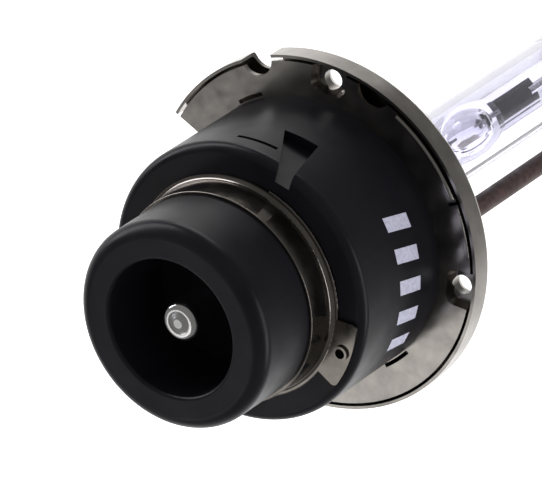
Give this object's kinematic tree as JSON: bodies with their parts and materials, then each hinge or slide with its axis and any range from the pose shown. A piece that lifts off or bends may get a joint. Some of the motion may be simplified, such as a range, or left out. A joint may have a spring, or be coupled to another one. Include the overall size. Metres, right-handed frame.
{
  "type": "headlight bulb",
  "caption": "Xenon headlamp capsule: quartz burner with return wire on a round prefocus flange, with a moulded base and a socketed high-voltage connector.",
  "frame": {"origin": "on the bulb axis, in the plane of the flange's front seating face", "axes": "+Y along the bulb axis towards the burner's tip, +Z towards the flange's key notch, so the return wire lies below the burner as in use"},
  "size_m": [0.0412, 0.0852, 0.0411],
  "materials": {
    "flange_steel": "bright rolled stainless sheet",
    "contact_steel": "polished stainless strip",
    "pin_nickel": "nickel plated",
    "solder": "dull solder",
    "black_moulding": "satin moulded",
    "quartz_outer": "clear doped quartz",
    "quartz_burner": "clear fused quartz",
    "salts": "crusted salt",
    "tungsten": "drawn wire",
    "foil": "etched foil",
    "lead_wire": "drawn nickel wire",
    "ceramic": "unglazed brown ceramic",
    "cement": "matt cement"
  },
  "bodies": {
    "lamp": {"reference_ring": "flange_steel", "carrier_plate": "flange_steel", "base_housing": "black_moulding", "connector_cup": "black_moulding", "contact_ring": "contact_steel", "centre_pin": "pin_nickel", "pin_solder": "solder", "outer_bulb": "quartz_outer", "arc_tube": "quartz_burner", "halide_salts": "salts", "rear_electrode": "tungsten", "front_electrode": "tungsten", "rear_foil": "foil", "front_foil": "foil", "rear_lead": "lead_wire", "front_lead": "lead_wire", "return_wire": "lead_wire", "tip_weld": "lead_wire", "return_terminal": "contact_steel", "clamp_band": "contact_steel", "retaining_lugs": "contact_steel", "potting_cement": "cement"},
    "sleeve": {"ceramic_sleeve": "ceramic"}
  },
  "joints": [
    {"name": "sleeve_slide", "type": "slide", "parent": "lamp", "child": "sleeve", "axis": [0, 1, 0], "range_m": [0, 0.0005]}
  ]
}
